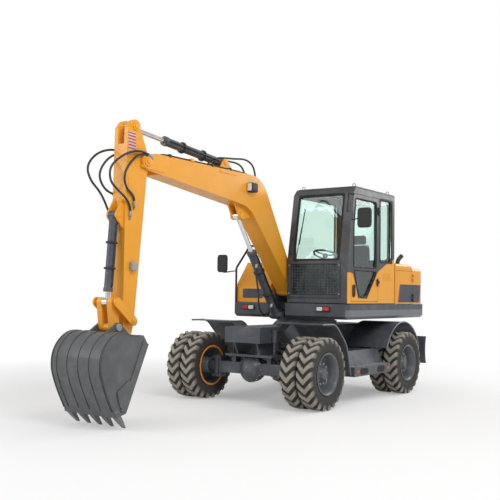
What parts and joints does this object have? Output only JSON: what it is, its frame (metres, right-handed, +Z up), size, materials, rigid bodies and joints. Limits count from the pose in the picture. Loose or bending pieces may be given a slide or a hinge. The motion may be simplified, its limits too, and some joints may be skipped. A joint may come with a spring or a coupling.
{
  "type": "wheeled excavator",
  "caption": "Wheeled excavator with twin tyres, jointed boom, arm and bucket, cab with opening door, rear blade and steered front axle.",
  "frame": {"origin": "on the ground under the middle of the whole machine", "axes": "+X forward, towards the bucket; +Y left; +Z up"},
  "size_m": [6.86, 2.73, 3.6139],
  "materials": {
    "yellow_paint": "gloss enamel",
    "dark_paint": "satin enamel",
    "bucket_steel": "worn satin",
    "wheel_grey": "satin enamel",
    "tyre_rubber": "matte, dusty",
    "bare_steel": "brushed",
    "rod_chrome": "polished",
    "window_glass": "clear tint",
    "cab_plastic": "grained",
    "seat_fabric": "woven",
    "lamp_lens": "clear gloss"
  },
  "bodies": {
    "chassis": {"chassis": "dark_paint", "front_axle": "dark_paint", "rear_axle": "dark_paint", "drive_shaft": "dark_paint", "slew_ring": "dark_paint", "front_fenders": "dark_paint", "rear_fenders": "dark_paint", "step_boxes": "dark_paint", "lock_cylinders": "dark_paint", "blade_bracket": "dark_paint", "steering_cylinder": "dark_paint"},
    "knuckle_left": {"knuckle_left": "dark_paint"},
    "knuckle_right": {"knuckle_right": "dark_paint"},
    "steering_rod": {"steering_rod": "rod_chrome"},
    "blade": {"blade": "dark_paint"},
    "blade_cylinder_barrel": {"blade_cylinder_barrel": "dark_paint"},
    "blade_cylinder_rod": {"blade_cylinder_rod": "rod_chrome"},
    "upper": {"deck": "dark_paint", "slew_race": "bare_steel", "counterweight": "yellow_paint", "engine": "bare_steel", "bulkhead": "dark_paint", "right_bonnet": "yellow_paint", "cab_shell": "dark_paint", "cab_glass": "window_glass", "seat": "seat_fabric", "steering_column": "cab_plastic", "consoles": "cab_plastic", "front_guard": "dark_paint", "handrail": "dark_paint", "mirrors": "cab_plastic", "deck_lamps": "lamp_lens", "exhaust": "bare_steel"},
    "engine_hood": {"engine_hood": "yellow_paint"},
    "side_door_left": {"side_door_left": "yellow_paint"},
    "side_door_right": {"side_door_right": "yellow_paint"},
    "roof_hatch": {"roof_hatch": "dark_paint"},
    "cab_door": {"cab_door": "dark_paint", "door_glass": "window_glass"},
    "boom": {"boom": "yellow_paint", "boom_lamp": "cab_plastic"},
    "boom_cylinder_barrel": {"boom_cylinder_barrel": "dark_paint"},
    "boom_cylinder_rod": {"boom_cylinder_rod": "rod_chrome"},
    "arm_cylinder_barrel": {"arm_cylinder_barrel": "dark_paint"},
    "arm_cylinder_rod": {"arm_cylinder_rod": "rod_chrome"},
    "arm": {"arm": "yellow_paint"},
    "bucket_cylinder_barrel": {"bucket_cylinder_barrel": "dark_paint"},
    "bucket_cylinder_rod": {"bucket_cylinder_rod": "rod_chrome"},
    "rocker": {"rocker": "yellow_paint"},
    "bucket": {"bucket": "bucket_steel"},
    "bucket_link": {"bucket_link": "yellow_paint"},
    "wheel_front_left": {"wheel_front_left_rims": "wheel_grey", "wheel_front_left_tyres": "tyre_rubber"},
    "wheel_front_right": {"wheel_front_right_rims": "wheel_grey", "wheel_front_right_tyres": "tyre_rubber"},
    "wheel_rear_left": {"wheel_rear_left_rims": "wheel_grey", "wheel_rear_left_tyres": "tyre_rubber"},
    "wheel_rear_right": {"wheel_rear_right_rims": "wheel_grey", "wheel_rear_right_tyres": "tyre_rubber"}
  },
  "joints": [
    {"name": "steer_left", "type": "hinge", "parent": "chassis", "child": "knuckle_left", "pos_m": [0.23, 0.64, 0.487], "axis": [0, 0, 1], "range_deg": [-25, 25]},
    {"name": "steer_right", "type": "hinge", "parent": "chassis", "child": "knuckle_right", "pos_m": [0.23, -0.64, 0.487], "axis": [0, 0, 1], "range_deg": [-25, 25]},
    {"name": "steering_slide", "type": "slide", "parent": "chassis", "child": "steering_rod", "axis": [0, 1, 0], "range_m": [-0.108, 0.108]},
    {"name": "roll_front_left", "type": "hinge", "parent": "knuckle_left", "child": "wheel_front_left", "pos_m": [0.23, 1.11, 0.487], "axis": [0, 1, 0], "continuous": true},
    {"name": "roll_front_right", "type": "hinge", "parent": "knuckle_right", "child": "wheel_front_right", "pos_m": [0.23, -1.11, 0.487], "axis": [0, 1, 0], "continuous": true},
    {"name": "roll_rear_left", "type": "hinge", "parent": "chassis", "child": "wheel_rear_left", "pos_m": [-2.32, 1.11, 0.487], "axis": [0, 1, 0], "continuous": true},
    {"name": "roll_rear_right", "type": "hinge", "parent": "chassis", "child": "wheel_rear_right", "pos_m": [-2.32, -1.11, 0.487], "axis": [0, 1, 0], "continuous": true},
    {"name": "blade_lower", "type": "hinge", "parent": "chassis", "child": "blade", "pos_m": [-2.64, 0, 0.44], "axis": [0, -1, 0], "range_deg": [-5, 55]},
    {"name": "blade_cylinder_turn", "type": "hinge", "parent": "chassis", "child": "blade_cylinder_barrel", "pos_m": [-2.83, 0, 1], "axis": [0, -1, 0], "range_deg": [-0.62, 1.82]},
    {"name": "blade_cylinder_slide", "type": "slide", "parent": "blade_cylinder_barrel", "child": "blade_cylinder_rod", "axis": [0, 0, -1], "range_m": [-0.02176, 0.18931]},
    {"name": "slew", "type": "hinge", "parent": "chassis", "child": "upper", "pos_m": [-1.2, 0, 1.15], "axis": [0, 0, 1], "continuous": true},
    {"name": "cab_door_swing", "type": "hinge", "parent": "upper", "child": "cab_door", "pos_m": [-1.613, 1.041, 1.5], "axis": [0, 0, 1], "range_deg": [0, 165]},
    {"name": "engine_hood_lift", "type": "hinge", "parent": "upper", "child": "engine_hood", "pos_m": [-2.247, 0, 2.086], "axis": [0, 1, 0], "range_deg": [0, 60]},
    {"name": "side_door_left_swing", "type": "hinge", "parent": "upper", "child": "side_door_left", "pos_m": [-2.897, 1.046, 1.7], "axis": [0, 0, 1], "range_deg": [0, 110]},
    {"name": "side_door_right_swing", "type": "hinge", "parent": "upper", "child": "side_door_right", "pos_m": [-2.897, -1.046, 1.7], "axis": [0, 0, -1], "range_deg": [0, 110]},
    {"name": "roof_hatch_lift", "type": "hinge", "parent": "upper", "child": "roof_hatch", "pos_m": [-1.812, 0.5, 3.166], "axis": [0, -1, 0], "range_deg": [0, 70]},
    {"name": "boom_lift", "type": "hinge", "parent": "upper", "child": "boom", "pos_m": [-0.91, -0.19, 1.6], "axis": [0, -1, 0], "range_deg": [-50, 25]},
    {"name": "boom_cylinder_turn", "type": "hinge", "parent": "upper", "child": "boom_cylinder_barrel", "pos_m": [-0.616, -0.19, 1.223], "axis": [0, -1, 0], "range_deg": [-50.3, 25.4]},
    {"name": "boom_cylinder_slide", "type": "slide", "parent": "boom_cylinder_barrel", "child": "boom_cylinder_rod", "axis": [0.5869, 0, 0.8097], "range_m": [-0.3977, 0.20135]},
    {"name": "arm_in", "type": "hinge", "parent": "boom", "child": "arm", "pos_m": [2.465, -0.19, 3.13], "axis": [0, 1, 0], "range_deg": [-70, 35]},
    {"name": "arm_cylinder_turn", "type": "hinge", "parent": "boom", "child": "arm_cylinder_barrel", "pos_m": [0.83, -0.19, 3.355], "axis": [0, 1, 0], "range_deg": [-3.02, 1.76]},
    {"name": "arm_cylinder_slide", "type": "slide", "parent": "arm_cylinder_barrel", "child": "arm_cylinder_rod", "axis": [0.9954, 0, 0.0957], "range_m": [-0.46804, 0.23652]},
    {"name": "bucket_curl", "type": "hinge", "parent": "arm", "child": "bucket", "pos_m": [2.73, -0.19, 0.97], "axis": [0, 1, 0], "range_deg": [-12, 140]},
    {"name": "bucket_cylinder_turn", "type": "hinge", "parent": "arm", "child": "bucket_cylinder_barrel", "pos_m": [2.876, -0.19, 2.446], "axis": [0, 1, 0], "range_deg": [-0.52, 0.78]},
    {"name": "bucket_cylinder_slide", "type": "slide", "parent": "bucket_cylinder_barrel", "child": "bucket_cylinder_rod", "axis": [0.0721, 0, -0.9974], "range_m": [-0.0494, 0.52301]},
    {"name": "rocker_turn", "type": "hinge", "parent": "arm", "child": "rocker", "pos_m": [2.685, -0.19, 1.2], "axis": [0, 1, 0], "range_deg": [-8.46, 93.32]},
    {"name": "bucket_link_turn", "type": "hinge", "parent": "bucket", "child": "bucket_link", "pos_m": [2.91, -0.19, 1.13], "axis": [0, 1, 0], "range_deg": [-108.02, 9.72]}
  ],
  "couplings": [
    {"joint": "steer_right", "follows": "steer_left", "ratio": 1},
    {"joint": "steering_slide", "follows": "steer_left", "m_per_rad": -0.23246},
    {"joint": "blade_cylinder_turn", "follows": "blade_lower", "ratio": 0.024},
    {"joint": "blade_cylinder_slide", "follows": "blade_lower", "m_per_rad": 0.192},
    {"joint": "boom_cylinder_turn", "follows": "boom_lift", "ratio": 0.996},
    {"joint": "boom_cylinder_slide", "follows": "boom_lift", "m_per_rad": 0.45},
    {"joint": "arm_cylinder_turn", "follows": "arm_in", "ratio": 0.036},
    {"joint": "arm_cylinder_slide", "follows": "arm_in", "m_per_rad": 0.379},
    {"joint": "bucket_cylinder_turn", "follows": "bucket_curl", "ratio": 0.002},
    {"joint": "bucket_cylinder_slide", "follows": "bucket_curl", "m_per_rad": 0.212},
    {"joint": "rocker_turn", "follows": "bucket_curl", "ratio": 0.663},
    {"joint": "bucket_link_turn", "follows": "bucket_curl", "ratio": -0.768}
  ]
}
